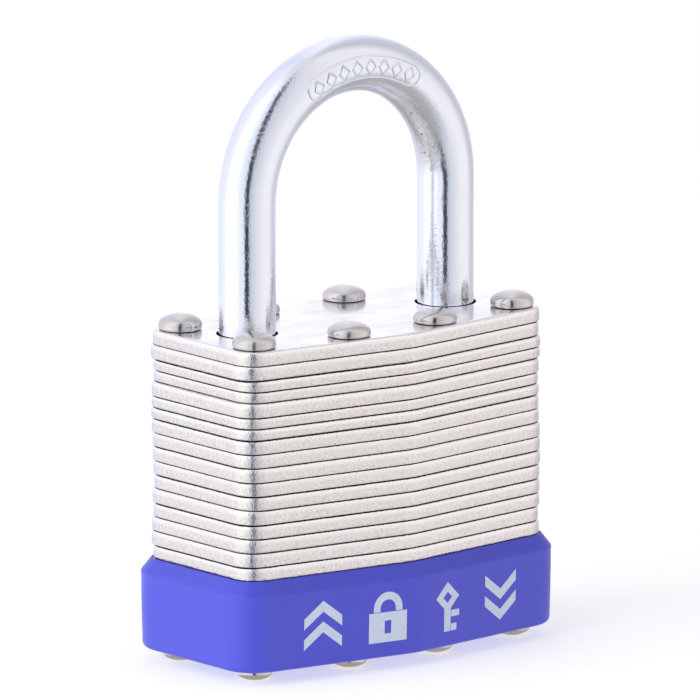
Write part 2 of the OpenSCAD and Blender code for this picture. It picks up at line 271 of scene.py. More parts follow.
def studio():
    world = bpy.data.worlds.new("studio")
    bpy.context.scene.world = world
    world.use_nodes = True
    tree = world.node_tree
    tree.nodes.clear()
    direction = add(tree, "ShaderNodeTexCoord").outputs["Generated"]
    xyz = add(tree, "ShaderNodeSeparateXYZ", {0: direction})
    angle = math_node(tree, "ARCTAN2", xyz.outputs["Y"], xyz.outputs["X"])
    towards_camera = math.atan2(away.y, away.x)
    turn = times(tree, minus(tree, angle, towards_camera), 0.5 / math.pi)
    place = math_node(tree, "FRACT", plus(tree, turn, 1.5))
    ramp = add(tree, "ShaderNodeValToRGB", {0: place})
    stops = ramp.color_ramp.elements
    while len(stops) < len(ROOM):
        stops.new(0.5)
    for stop, (at, colour) in zip(stops, ROOM):
        stop.position = at
        stop.color = (*colour, 1)
    rays = add(tree, "ShaderNodeLightPath").outputs
    share = spread(tree, rays["Is Diffuse Ray"], 0, 1, 1.0, SOFT_SHARE)

    def background(colour, strength):
        return output(tree, "ShaderNodeBackground", {
            "Color": colour, "Strength": times(tree, share, strength)})

    # above eye level the walls are a little duller than below it
    z = xyz.outputs["Z"]
    upper = spread(tree, z, -0.15, 0.10, ROOM_LIGHT, UPPER_LIGHT)
    high = spread(tree, z, 0.92, 0.998)
    low = spread(tree, z, -0.40, -0.70)
    room = background(ramp.outputs["Color"], upper)
    sky = background((0.96, 0.975, 1, 1), SKY_LIGHT)
    ground = background((1, 0.98, 0.96, 1), GROUND_LIGHT)
    walls = output(tree, "ShaderNodeMixShader", {0: high, 1: room, 2: sky})
    dome = output(tree, "ShaderNodeMixShader", {0: low, 1: walls, 2: ground})
    plain = output(tree, "ShaderNodeBackground", {"Color": (1, 1, 1, 1), "Strength": 1})
    both = output(tree, "ShaderNodeMixShader", {0: rays["Is Camera Ray"], 1: dome, 2: plain})
    add(tree, "ShaderNodeOutputWorld", {"Surface": both})


def soft_lamp():
    """A large lamp on the left for matt surfaces; polished ones show the room alone."""
    data = bpy.data.lights.new("soft_lamp", "AREA")
    data.size = 0.8
    data.energy = 4.6
    lamp = bpy.data.objects.new("soft_lamp", data)
    side = Vector((-1.0, 0.05, 0.45)).normalized()
    lamp.location = aim + side * 0.9
    lamp.rotation_euler = side.to_track_quat("Z", "Y").to_euler()
    lamp.visible_glossy = False
    bpy.context.scene.collection.objects.link(lamp)


studio()
soft_lamp()

# %% [markdown]
# The floor is a plain pale sheet, large enough to fill the view. It is part of the studio.
# Reflections look through it at the room, as they would on a small table.


# %% Floor
def plain_floor():
    size = 3
    mesh = bpy.data.meshes.new("floor")
    corners = [(-size, -size, 0), (size, -size, 0), (size, size, 0), (-size, size, 0)]
    mesh.from_pydata(corners, [], [(0, 1, 2, 3)])
    floor = bpy.data.objects.new("floor", mesh)
    bpy.context.scene.collection.objects.link(floor)
    material = bpy.data.materials.new("floor_paper")
    material.use_nodes = True
    tree = material.node_tree
    sheet = tree.nodes["Principled BSDF"]
    paper = sheet.inputs
    paper["Base Color"].default_value = (0.62, 0.62, 0.62, 1)
    paper["Roughness"].default_value = 0.9
    paper["Emission Color"].default_value = (1, 1, 1, 1)
    paper["Emission Strength"].default_value = 0.56
    glossy = add(tree, "ShaderNodeLightPath").outputs["Is Glossy Ray"]
    clear = output(tree, "ShaderNodeBsdfTransparent")
    either = output(tree, "ShaderNodeMixShader", {0: glossy, 1: sheet.outputs[0], 2: clear})
    tree.links.new(either, tree.nodes["Material Output"].inputs["Surface"])
    mesh.materials.append(material)


plain_floor()

# %% [markdown]
# ## Finishes
#
# Each finish is one Principled shader. What several finishes share is a node group: tiny pits and
# lumps in a metal skin, and hairline scratches. They read Object coordinates, so they sit still on
# the piece and keep their size in millimetres.


# %% Shared surface effects
def lumps_group():
    """Bumps and pits in a skin: a height, and a mask that is 1 in the pits."""
    tree, given, result = new_group(
        "lumps_and_pits",
        "ShaderNodeTree",
        [("Grain size", FLOAT, 0.3), ("Pit size", FLOAT, 0.8), ("Pit share", FLOAT, 0.06)],
        [("Height", FLOAT), ("Pits", FLOAT), ("Patches", FLOAT)],
    )
    place = add(tree, "ShaderNodeTexCoord").outputs["Object"]
    grain = add(tree, "ShaderNodeTexNoise", {
        "Vector": place, "Scale": math_node(tree, "DIVIDE", 1000, given["Grain size"]), "Detail": 3})
    pits = add(tree, "ShaderNodeTexVoronoi", {
        "Vector": place, "Scale": math_node(tree, "DIVIDE", 1000, given["Pit size"])})
    mask = spread(tree, pits.outputs["Distance"], given["Pit share"], 0)
    patches = add(tree, "ShaderNodeTexNoise", {"Vector": place, "Scale": 220, "Detail": 2})
    height = minus(tree, grain.outputs["Fac"], mask)
    tree.links.new(height, result["Height"])
    tree.links.new(mask, result["Pits"])
    tree.links.new(patches.outputs["Fac"], result["Patches"])
    return tree


def scratches_group():
    """Hairline scratches along one direction of the piece, as a mask."""
    tree, given, result = new_group(
        "hairlines",
        "ShaderNodeTree",
        [("Stretch", VECTOR, (1, 1, 1)), ("Turn", VECTOR, (0, 0, 0))],
        [("Lines", FLOAT)],
    )
    place = add(tree, "ShaderNodeTexCoord").outputs["Object"]
    mapped = output(tree, "ShaderNodeMapping", {
        "Vector": place, "Rotation": given["Turn"], "Scale": given["Stretch"]})
    lines = add(tree, "ShaderNodeTexNoise", {"Vector": mapped, "Scale": 1000, "Detail": 3})
    tree.links.new(spread(tree, lines.outputs["Fac"], 0.35, 0.65), result["Lines"])
    return tree


LUMPS = lumps_group()
HAIRLINES = scratches_group()


def new_material(name, **settings):
    """A material and its tree; settings are put on the Principled shader's own sockets."""
    material = bpy.data.materials.new(name)
    material.use_nodes = True
    shader = material.node_tree.nodes["Principled BSDF"]
    for key, value in settings.items():
        shader.inputs[key.replace("_", " ")].default_value = value
    return material, material.node_tree, shader.inputs


def group_node(tree, group, **values):
    node = tree.nodes.new("ShaderNodeGroup")
    node.node_tree = group
    for key, value in values.items():
        node.inputs[key.replace("_", " ")].default_value = value
    return node.outputs


def blend_colour(tree, share, first, second):
    node = add(tree, "ShaderNodeMix", {"Factor": share}, data_type="RGBA")
    for socket, value in ((node.inputs[6], first), (node.inputs[7], second)):
        if isinstance(value, bpy.types.NodeSocket):
            tree.links.new(value, socket)
        else:
            socket.default_value = (*value, 1)
    return node.outputs[2]


def blend_value(tree, share, low, high):
    return spread(tree, share, 0, 1, low, high)


# %% [markdown]
# The plates are sheet steel with a nickel plating that is a little warm and yellowish. Their
# faces are smooth from the rolling mill, while their sides were sheared by the punch and look like
# fine orange peel. The cracks between them are painted nearly black, which is painted shade. Each
# plate's mesh carries an attribute of painted light: 1 is deep in a crack, where the shade is
# painted, and -1 is on the rolled edge, where a painted highlight lightens it.


# %% Nickel-plated plates
def plate_material():
    material, tree, skin = new_material("nickel_plate", Metallic=1.0)
    grain = group_node(tree, LUMPS, Grain_size=0.30, Pit_size=1.1, Pit_share=0.07)
    lines = group_node(tree, HAIRLINES, Stretch=(0.12, 2.2, 1), Turn=(0, 0, 0.55))
    facing = add(tree, "ShaderNodeSeparateXYZ", {0: add(tree, "ShaderNodeNewGeometry").outputs["Normal"]})
    flat = math_node(tree, "GREATER_THAN", math_node(tree, "ABSOLUTE", facing.outputs["Z"]), 0.98)
    # the plate's attribute of painted light: painted shade deep in the cracks, a painted highlight on the
    # rolled edge
    groove = add(tree, "ShaderNodeAttribute", attribute_name="groove").outputs["Fac"]
    crack_shade = spread(tree, groove, 0.15, 0.75)
    rolled_edge_highlight = spread(tree, groove, 0.0, -0.9)

    # sheared sides: speckles, patches and pits
    speckle = spread(tree, grain["Height"], 0.34, 0.66)
    clean = blend_colour(tree, speckle, (0.67, 0.632, 0.615), (0.84, 0.805, 0.79))
    patched = blend_colour(tree, blend_value(tree, grain["Patches"], 0.0, 0.5), clean, (0.79, 0.75, 0.725))
    pitted = blend_colour(tree, times(tree, grain["Pits"], 0.6), patched, (0.42, 0.38, 0.36))
    # painted highlight: the rolled upper edge is painted almost white
    sheared = blend_colour(tree, rolled_edge_highlight, pitted, (0.98, 0.96, 0.935))
    # rolled faces: faint grey patches and crossing scratches
    scratch = spread(tree, lines["Lines"], 0.80, 1.0, 0, 0.28)
    cloud = spread(tree, grain["Patches"], 0.42, 0.60)
    rolled = blend_colour(tree, cloud, (0.95, 0.93, 0.935), (0.84, 0.81, 0.82))
    scratched = blend_colour(tree, scratch, rolled, (0.58, 0.555, 0.56))
    plated = blend_colour(tree, flat, sheared, scratched)
    # painted shade: the cracks between plates are painted nearly black
    tree.links.new(blend_colour(tree, crack_shade, plated, (0.055, 0.045, 0.038)), skin["Base Color"])

    side_rough = blend_value(tree, grain["Patches"], 0.17, 0.27)
    flat_rough = blend_value(tree, lines["Lines"], 0.10, 0.24)
    finish = output(tree, "ShaderNodeMix", {"Factor": flat, 2: side_rough, 3: flat_rough})
    rough = output(tree, "ShaderNodeMix", {"Factor": crack_shade, 2: finish, 3: 0.9})
    tree.links.new(rough, skin["Roughness"])
    peel = times(tree, grain["Height"], blend_value(tree, flat, 1.0, 0.12))
    bump = add(tree, "ShaderNodeBump", {"Height": peel, "Strength": 0.8, "Distance": 0.00006})
    tree.links.new(bump.outputs[0], skin["Normal"])
    return material


PLATE = plate_material()


# %% [markdown]
# The other metals differ in colour and polish only, so one function makes them: a main colour, a
# second one for patches, a range of roughness, and how deep the grain is. Where a mesh carries an
# attribute of painted shade, the colour is painted dark brown as a painted shadow.


# %% Other metals
def metal(name, colour, patch, rough, grain_size, depth):
    material, tree, skin = new_material(name, Metallic=1.0)
    grain = group_node(tree, LUMPS, Grain_size=grain_size, Pit_size=2.2, Pit_share=0.045)
    lines = group_node(tree, HAIRLINES)
    painted_shade = add(tree, "ShaderNodeAttribute", attribute_name="groove").outputs["Fac"]
    clean = blend_colour(tree, grain["Patches"], colour, patch)
    # painted shadow: dark brown where the mesh's attribute asks for shade
    tree.links.new(blend_colour(tree, painted_shade, clean, (0.07, 0.055, 0.045)), skin["Base Color"])
    tree.links.new(blend_value(tree, lines["Lines"], *rough), skin["Roughness"])
    bump = add(tree, "ShaderNodeBump", {"Height": grain["Height"], "Strength": 0.5, "Distance": depth})
    tree.links.new(bump.outputs[0], skin["Normal"])
    return material


RIVET = metal("rivet_nickel", (0.62, 0.59, 0.57), (0.72, 0.69, 0.67), (0.10, 0.24), 0.7, 0.00003)
LEVER = metal("lever_steel", (0.55, 0.54, 0.53), (0.62, 0.61, 0.60), (0.28, 0.42), 0.4, 0.00003)
SPRING = metal("spring_wire", (0.42, 0.43, 0.45), (0.50, 0.51, 0.53), (0.20, 0.34), 0.3, 0.00001)
ZINC = metal("cast_zinc", (0.50, 0.51, 0.53), (0.58, 0.59, 0.61), (0.42, 0.60), 0.25, 0.00005)
BRASS = metal("turned_brass", (0.80, 0.62, 0.30), (0.86, 0.69, 0.38), (0.18, 0.32), 0.4, 0.00002)


# %% [markdown]
# The shackle is plated with bright chrome over a bar that was never quite smooth: pits, brush marks
# from its polishing in some patches only, and creases on the inner side of the bow, where bending
# squeezed the steel. Its mesh carries an attribute, bend, that is 1 where the creases are.


# %% Chrome
def chrome_material():
    material, tree, skin = new_material("polished_bar", Metallic=1.0)
    grain = group_node(tree, LUMPS, Grain_size=0.26, Pit_size=1.3, Pit_share=0.07)
    coarse = group_node(tree, LUMPS, Grain_size=0.75, Pit_size=0.9, Pit_share=0.2)
    brush = group_node(tree, HAIRLINES, Stretch=(0.25, 1.0, 3.2), Turn=(0, 0.7, 0))
    bend = add(tree, "ShaderNodeAttribute", attribute_name="bend").outputs["Fac"]
    bright = blend_colour(tree, grain["Patches"], (0.80, 0.83, 0.90), (0.87, 0.89, 0.94))
    dull = blend_colour(tree, coarse["Pits"], (0.72, 0.72, 0.74), (0.22, 0.22, 0.23))
    tree.links.new(blend_colour(tree, bend, bright, dull), skin["Base Color"])
    brushed = spread(tree, grain["Patches"], 0.50, 0.62)
    strokes = times(tree, brushed, brush["Lines"])
    smooth = blend_value(tree, strokes, 0.06, 0.26)
    rough = output(tree, "ShaderNodeMix", {"Factor": bend, 2: smooth, 3: 0.24})
    tree.links.new(rough, skin["Roughness"])
    fine = plus(tree, grain["Height"], times(tree, strokes, 0.5))
    creases = times(tree, coarse["Height"], bend, 5)
    bump = add(tree, "ShaderNodeBump", {
        "Height": plus(tree, fine, creases), "Strength": 0.6, "Distance": 0.00003})
    tree.links.new(bump.outputs[0], skin["Normal"])
    return material


CHROME = chrome_material()

# %% [markdown]
# The cover is soft vinyl, coloured through, with a silky skin from its mould. The pictograms on
# its front are printed in pale ink, which missed a few specks.


# %% Plastic and ink
def vinyl_material():
    material, tree, skin = new_material("blue_vinyl", Roughness=0.34, Specular_IOR_Level=0.5)
    grain = group_node(tree, LUMPS, Grain_size=0.5, Pit_size=3, Pit_share=0.02)
    colour = blend_colour(tree, grain["Patches"], (0.062, 0.072, 0.60), (0.074, 0.084, 0.68))
    lint = blend_colour(tree, grain["Pits"], colour, (0.55, 0.58, 0.85))
    tree.links.new(lint, skin["Base Color"])
    tree.links.new(blend_value(tree, grain["Patches"], 0.30, 0.42), skin["Roughness"])
    bump = add(tree, "ShaderNodeBump", {"Height": grain["Height"], "Strength": 0.4, "Distance": 0.000015})
    tree.links.new(bump.outputs[0], skin["Normal"])
    return material


def ink_material():
    material, tree, skin = new_material("pale_ink", Roughness=0.5)
    grain = group_node(tree, LUMPS, Grain_size=0.4, Pit_size=0.42, Pit_share=0.2)
    colour = blend_colour(tree, grain["Pits"], (0.66, 0.72, 0.86), (0.12, 0.14, 0.60))
    tree.links.new(colour, skin["Base Color"])
    tree.links.new(blend_value(tree, grain["Patches"], 0.4, 0.6), skin["Roughness"])
    return material


VINYL = vinyl_material()
INK = ink_material()

# %% [markdown]
# ## Reading the frame
#
# The finished plates keep every hole of the engineering model. A plate is a flat outline with
# holes, given a thickness, so it is enough to read the loops round one of its flat faces.


# %% Loops of a flat face
def face_loops(node, up=1):
    """The closed loops round a node's highest (up=1) or lowest (up=-1) flat face, the longest first."""
    mesh = bmesh.new()
    mesh.from_mesh(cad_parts[node].data)
    bmesh.ops.remove_doubles(mesh, verts=mesh.verts, dist=1e-6)
    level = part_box(node)[1 if up > 0 else 0][2]
    flat = {f for f in mesh.faces if f.normal.z * up > 0.99 and abs(f.calc_center_median().z - level) < 1e-5}
    # a list, because a set of edges has another order in each run
    rim = [e for e in mesh.edges if sum(f in flat for f in e.link_faces) == 1]
    loops = []
    while rim:
        edge = rim.pop(0)
        first, at = edge.verts
        loop = [first]
        while at != first:
            loop.append(at)
            edge = next(e for e in at.link_edges if e in rim)
            rim.remove(edge)
            at = edge.other_vert(at)
        loops.append([Vector((v.co.x, v.co.y)) for v in loop])
    mesh.free()
    loops.sort(key=lambda loop: -sum((b - a).length for a, b in zip(loop, loop[1:] + loop[:1])))
    outer = loops[0]
    if sum(a.cross(b) for a, b in zip(outer, outer[1:] + outer[:1])) < 0:
        outer.reverse()
    return loops


def middle(loop):
    return sum(loop, Vector((0, 0))) / len(loop)


def loops_mesh(name, loops):
    """Edges only, with an attribute that is 1 on the outer loop."""
    points, edges, outer = [], [], []
    for k, loop in enumerate(loops):
        start = len(points)
        points += [(p.x, p.y, 0) for p in loop]
        edges += [(start + i, start + (i + 1) % len(loop)) for i in range(len(loop))]
        outer += [k == 0] * len(loop)
    mesh = bpy.data.meshes.new(name)
    mesh.from_pydata(points, edges, [])
    mesh.attributes.new("outer", "BOOLEAN", "POINT").data.foreach_set("value", outer)
    return mesh


top_loops = face_loops("top_plate")
HOLES = [(max((p - middle(loop)).length for p in loop), middle(loop)) for loop in top_loops[1:]]
HOLES.sort(key=lambda hole: [round(value / MM, 2) for value in (hole[0], *hole[1])])
RIVETS_AT = [centre for radius, centre in HOLES[:8]]
LEGS_AT = [centre for radius, centre in HOLES[8:]]
print("rivets at", [tuple(round(v / MM, 2) for v in p) for p in RIVETS_AT])
print("legs at", [tuple(round(v / MM, 2) for v in p) for p in LEGS_AT])


# %% [markdown]
# ## One tree for plates and cover
#
# Plates and cover share a way of being made: a wall whose section runs round the outline, and flat
# faces with holes that close it above and below. Bevels on a finished solid would also do, but a
# Geometry Nodes tree follows the rule directly. It smooths the outline, finds which way is
# outwards at every point, and then extrudes the edge loop step by step along the section. Ripple
# and seed make no two plates quite alike.


# %% Walls that follow an outline
def combine(tree, sizes, terms):
    """The sum of named sizes, each times its factor."""
    parts = [times(tree, sizes[label], factor) for label, factor in terms.items()]
    return plus(tree, *parts) if parts else 0.0


def less(now, before):
    """How many of each size one place of the section is past the one before it."""
    change = {label: now.get(label, 0) - before.get(label, 0) for label in {**now, **before}}
    return {label: factor for label, factor in change.items() if factor != 0}


def wall_tree(name, section, sizes):
    """section lists (outwards, upwards, painted light); the first two say how many of each size to add up,
    and the last is painted shade above 0 and a painted highlight below 0.
    """
    tree, given, result = geometry_tree(name, [
        *((label, FLOAT, value) for label, value in sizes.items()),
        ("Base", FLOAT, 0.0), ("Grow", FLOAT, 0.0), ("Shift", VECTOR, (0, 0, 0)),
        ("Spacing", FLOAT, 0.3 * MM), ("Ripple", FLOAT, 0.0), ("Seed", FLOAT, 0.0),
    ])
    outer = attribute(tree, "outer", "BOOLEAN")
    split = add(tree, "GeometryNodeSeparateGeometry", {0: given["Geometry"], 1: outer}, domain="POINT")
    holes = split.outputs["Inverted"]

    # the outline, evenly spaced and smoothed, with its outward direction kept on each point
    outline = output(tree, "GeometryNodeMeshToCurve", {0: split.outputs["Selection"]})
    outline = output(tree, "GeometryNodeResampleCurve", {
        "Curve": outline, "Length": given["Spacing"]}, mode="LENGTH")
    tangent = output(tree, "GeometryNodeInputTangent")
    side = output(tree, "ShaderNodeVectorMath", {0: tangent, 1: (0, 0, 1)}, operation="CROSS_PRODUCT")
    marked = stored(tree, outline, "out", side, "FLOAT_VECTOR")
    ring = output(tree, "GeometryNodeCurveToMesh", {"Curve": marked})
    place = output(tree, "GeometryNodeInputPosition")
    soft_place = output(tree, "GeometryNodeBlurAttribute", {
        "Value": place, "Iterations": 2}, data_type="FLOAT_VECTOR")
    ring = moved_to(tree, ring, soft_place)
    out = attribute(tree, "out", "FLOAT_VECTOR")
    soft_out = output(tree, "GeometryNodeBlurAttribute", {
        "Value": out, "Iterations": 2}, data_type="FLOAT_VECTOR")
    ring = stored(tree, ring, "out", soft_out, "FLOAT_VECTOR")

    def step(outwards, upwards):
        along = scaled(tree, out, outwards)
        rise = point(tree, Z=upwards)
        return vector_sum(tree, along, rise)

    # each ring keeps its step's painted light: painted shade in a crack, a painted highlight on a rolled edge
    def keep_painted_light(mesh, chosen, depth):
        return stored(tree, mesh, "groove", depth, Selection=chosen)

    # the wall, one step of the section at a time
    x, z, depth = section[0]
    start = plus(tree, combine(tree, given, x), given["Grow"])
    move = vector_sum(tree, step(start, combine(tree, given, z)), given["Shift"])
    ring = moved_by(tree, ring, move)
    wall = keep_painted_light(ring, True, depth)
    top = True
    for (x, z, depth), (x_before, z_before, _) in zip(section[1:], section):
        offset = step(combine(tree, given, less(x, x_before)), combine(tree, given, less(z, z_before)))
        grown = add(tree, "GeometryNodeExtrudeMesh", {
            "Mesh": wall, "Selection": top, "Offset": offset, "Offset Scale": 1.0}, mode="EDGES")
        top = grown.outputs["Top"]
        wall = keep_painted_light(grown.outputs["Mesh"], top, depth)

    # flat faces with the holes, and the walls of the holes
    height = combine(tree, given, less(section[-1][1], section[0][1]))
    lifted = point(tree, Z=height)
    hole_curves = output(tree, "GeometryNodeMeshToCurve", {0: holes})

    def cap(edges, lift):
        curves = joined(tree, edges, hole_curves)
        filled = output(tree, "GeometryNodeFillCurve", {0: curves}, mode="TRIANGLES")
        return output(tree, "GeometryNodeTransform", {"Geometry": filled, "Translation": lift})

    lower = cap(output(tree, "GeometryNodeMeshToCurve", {0: ring}), (0, 0, 0))
    upper = cap(output(tree, "GeometryNodeMeshToCurve", {0: wall, 1: top}), lifted)
    hole_walls = add(tree, "GeometryNodeExtrudeMesh", {
        "Mesh": holes, "Offset": lifted, "Offset Scale": 1.0}, mode="EDGES").outputs["Mesh"]
    whole = joined(tree, wall, lower, upper, hole_walls)
    closed = output(tree, "GeometryNodeMergeByDistance", {"Geometry": whole, "Distance": 1e-6})

    # the ripple that shearing leaves, outwards only, so that the stack stays flat
    noise = output(tree, "ShaderNodeTexNoise", {
        "W": given["Seed"], "Scale": 420, "Detail": 2}, noise_dimensions="4D")
    swing = times(tree, minus(tree, noise, 0.5), given["Ripple"])
    rippled = scaled(tree, out, swing)
    moved = moved_by(tree, closed, rippled)
    base = point(tree, Z=given["Base"])
    placed = output(tree, "GeometryNodeTransform", {"Geometry": moved, "Translation": base})
    real = make_real(tree, placed)
    dress(tree, real, given, result)
    return tree


# %% [markdown]
# A tree is run by a modifier on a scratch object. The finished mesh is taken from the evaluated
# object, its faces are turned outwards, and edges sharper than a limit are kept crisp.


# %% Run a tree
def bake(name, mesh, tree, crisp=35, **values):
    """The tree's result as a plain mesh object; values are the tree's inputs by name."""
    scratch = bpy.data.objects.new(name + "_scratch", mesh)
    bpy.context.scene.collection.objects.link(scratch)
    modifier = scratch.modifiers.new("tree", "NODES")
    modifier.node_group = tree
    names = {item.name: item.identifier for item in tree.interface.items_tree if item.in_out == "INPUT"}
    for key, value in values.items():
        modifier[names[key.replace("_", " ")]] = value
    graph = bpy.context.evaluated_depsgraph_get()
    result = bpy.data.meshes.new_from_object(scratch.evaluated_get(graph), depsgraph=graph)
    bpy.data.objects.remove(scratch)
    return finish_mesh(name, result, crisp)


def finish_mesh(name, mesh, crisp=35):
    """Faces outwards, smooth shading with crisp edges above the angle, and an object that holds it."""
    work = bmesh.new()
    work.from_mesh(mesh)
    bmesh.ops.recalc_face_normals(work, faces=work.faces)
    loose = sum(not e.is_manifold for e in work.edges)
    work.to_mesh(mesh)
    work.free()
    mesh.shade_smooth()
    mesh.set_sharp_from_angle(angle=math.radians(crisp))
    mesh.name = name
    piece = bpy.data.objects.new(name, mesh)
    bpy.context.scene.collection.objects.link(piece)
    print(f"{name}: {len(mesh.polygons)} faces, {loose} open edges")
    return piece


# %% [markdown]
# ## The plates
#
# A punched plate has a rolled upper edge, where the punch drew the steel down, and a sharper lower
# one. The plates were never quite in line when the rivets were closed, so some stand out a
# fraction of a millimetre. All 23 are separate pieces, each with its own seed.

# %% Punched plates
# the last column is painted light: 1 is painted shade deep in the crack between plates, -1 a painted
# highlight on the rolled edge
PLATE_SECTION = [
    ({"Roll": -2.1}, {}, 1.0),
    ({"Break": -2.4}, {}, 1.0),
    ({"Break": -1.0}, {"Break": 0.35}, 0.7),
    ({"Break": -0.25}, {"Break": 1.0}, 0.1),
    ({}, {"Break": 1.9}, 0.0),
    ({}, {"Thickness": 0.55}, 0.0),
    ({}, {"Thickness": 1.0, "Roll": -1.0}, -0.7),
    ({"Roll": -0.12}, {"Thickness": 1.0, "Roll": -0.68}, -1.0),
    ({"Roll": -0.42}, {"Thickness": 1.0, "Roll": -0.30}, -1.0),
    ({"Roll": -0.95}, {"Thickness": 1.0, "Roll": -0.08}, 0.20),
    ({"Roll": -1.5}, {"Thickness": 1.0}, 1.0),
    ({"Roll": -2.1}, {"Thickness": 1.0}, 1.0),
]
# the top plate has no plate above it, so its upper edge gets no painted shade, only the painted highlight
TOP_SECTION = [(x, z, min(depth, 0.0) if "Thickness" in z else depth) for x, z, depth in PLATE_SECTION]
PLATE_SIZES = {"Thickness": 1.5 * MM, "Roll": 0.34 * MM, "Break": 0.07 * MM}
plate_wall = wall_tree("punched_plate", PLATE_SECTION, PLATE_SIZES)
top_wall = wall_tree("top_punched_plate", TOP_SECTION, PLATE_SIZES)
PLATES = sorted((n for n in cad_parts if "plate" in n), key=lambda n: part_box(n)[0][2])


# How far the most uneven plates stand out to the right (left if negative), counted from the top, in mm
SLIPS = {2: -0.16, 3: 0.12, 4: 0.14, 5: -0.14, 6: -0.18, 7: -0.16, 8: -0.12, 11: 0.14, 12: 0.16, 16: -0.10}


def wander(k, step, reach):
    """A repeatable number between -reach and reach for the kth plate."""
    return reach * (2 * ((k * step) % 1.0) - 1)


def punched_plate(k, node):
    low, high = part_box(node)
    top = node == "top_plate"
    piece = bake(
        node + "_punched",
        loops_mesh(node, face_loops(node)),
        top_wall if top else plate_wall,
        Thickness=high[2] - low[2],
        Break=(0.05 + wander(k, 0.618, 0.03)) * MM,
        Roll=(0.31 + wander(k, 0.436, 0.09)) * MM,
        Base=low[2],
        Grow=wander(k, 0.37, 0.05) * MM,
        Shift=((SLIPS.get(len(PLATES) - k, 0) + wander(k, 0.755, 0.04)) * MM, wander(k, 0.569, 0.07) * MM, 0),
        Ripple=0.08 * MM,
        Seed=k * 3.7,
        Material=PLATE,
    )
    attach(piece, "body")
    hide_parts(node)


for k, node in enumerate(PLATES):
    punched_plate(k, node)

# %% [markdown]
# ## The rivets
#
# A rivet is a turned shape, so its half profile is drawn once and spun. Its head was pressed by a
# hollow tool: a domed crown that runs out into a rounded rim, with a painted shadow line at its seat.
# Geometry Nodes then sets one on each of the eight holes, each turned its own way, dents it a
# little, and presses the four heads in the middle flatter than the corner ones.


# %% Lathe
def lathe(name, profile, steps=48):
    """Spins (radius, height) points round Z. The profile starts and ends on the axis."""
    work = bmesh.new()
    verts = [work.verts.new((r, 0, z)) for r, z in profile]
    edges = [work.edges.new(pair) for pair in zip(verts, verts[1:])]
    bmesh.ops.spin(work, geom=verts + edges, cent=(0, 0, 0), axis=(0, 0, 1),
                   angle=2 * math.pi, steps=steps)
    bmesh.ops.remove_doubles(work, verts=work.verts, dist=1e-6)
    bmesh.ops.dissolve_degenerate(work, edges=work.edges, dist=1e-7)
    mesh = bpy.data.meshes.new(name)
    work.to_mesh(mesh)
    work.free()
    return mesh


def rivet_profile():
    """Half profile of a whole rivet, both heads, from the lower crown to the upper one."""
    low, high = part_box("rivets")
    head_h = high[2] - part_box("top_plate")[1][2]
    head_r = high[0] - max(p.x for p in RIVETS_AT)
    shank_r = HOLES[0][0] - 0.05 * MM
    crown = [(0, 0), (0.20, 0.0), (0.36, 0.03), (0.52, 0.085), (0.67, 0.165), (0.79, 0.25),
             (0.88, 0.34), (0.945, 0.44), (0.985, 0.55), (1.0, 0.66), (1.0, 0.84), (0.985, 0.91),
             (0.96, 0.965), (0.92, 1.0)]
    heads = {}
    for side, rise, wide in (("lower", 1.0, 0.88), ("upper", 1.20, 1.02)):
        heads[side] = [(r * head_r * wide, head_h - (1 - z) * head_h * rise) for r, z in crown]
        heads[side].append((shank_r, head_h))
    return heads["lower"] + [(r, high[2] - z) for r, z in reversed(heads["upper"])]


ANY_TURN = 6.28  # just short of once round


def rivets_tree():
    tree, given, result = geometry_tree("set_of_rivets", [
        ("Rivet", OBJECT, None), ("Dents", FLOAT, 0.07 * MM), ("Dent size", FLOAT, 1.9 * MM),
        ("Seat", FLOAT, 0.037), ("Seed", "NodeSocketInt", 4),
    ])
    one = add(tree, "GeometryNodeObjectInfo", {"Object": given["Rivet"]}).outputs["Geometry"]
    turn = output(tree, "FunctionNodeRandomValue", {
        "Min": (0, 0, 0), "Max": (0, 0, ANY_TURN), "Seed": given["Seed"]}, data_type="FLOAT_VECTOR")
    euler = output(tree, "FunctionNodeEulerToRotation", {0: turn})
    placed = output(tree, "GeometryNodeInstanceOnPoints", {
        "Points": given["Geometry"], "Instance": one, "Rotation": euler})
    real = make_real(tree, placed)
    scale = math_node(tree, "DIVIDE", 1, given["Dent size"])
    noise = output(tree, "ShaderNodeTexNoise", {"Scale": scale, "Detail": 1})
    normal = output(tree, "GeometryNodeInputNormal")
    depth = times(tree, minus(tree, noise, 0.52), given["Dents"])
    dent = scaled(tree, normal, depth)
    here = here_xyz(tree)
    above = math_node(tree, "MAXIMUM", minus(tree, here["Z"], given["Seat"]), 0)
    pressed = attribute(tree, "pressed")
    flatter = times(tree, above, pressed, -1)
    dented = moved_by(tree, real, vector_sum(tree, dent, point(tree, Z=flatter)))
    dress(tree, dented, given, result)
    return tree


def rivets():
    one = finish_mesh("one_rivet", lathe("one_rivet", rivet_profile(), 64), 40)
    seats = (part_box("base_cover")[0][2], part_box("top_plate")[1][2])
    # a painted shadow line round each head, where it sits on the top plate or the cover
    painted_shade = [0.6 * (min(abs(v.co.z - seat) for seat in seats) < 0.06 * MM) for v in one.data.vertices]
    one.data.attributes.new("groove", "FLOAT", "POINT").data.foreach_set("value", painted_shade)
    points = bpy.data.meshes.new("rivet_points")
    points.from_pydata([(p.x, p.y, 0) for p in RIVETS_AT], [], [])
    outermost = max(p.x for p in RIVETS_AT)
    share = [0.14 if abs(p.x) < outermost / 2 else 0.03 for p in RIVETS_AT]
    points.attributes.new("pressed", "FLOAT", "POINT").data.foreach_set("value", share)
    piece = bake("formed_rivets", points, rivets_tree(), 40, Rivet=one, Seat=seats[1], Material=RIVET)
    bpy.data.objects.remove(one)
    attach(piece, "body")
    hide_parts("rivets")


rivets()

# %% [markdown]
# ## The base cover
#
# The cover is made by the same kind of tree as the plates, with its own section: rounded foot,
# wall, bevelled shoulder, thin rim, and back down inside to its floor. The rim bulges a little
# between the corners, as soft vinyl does.

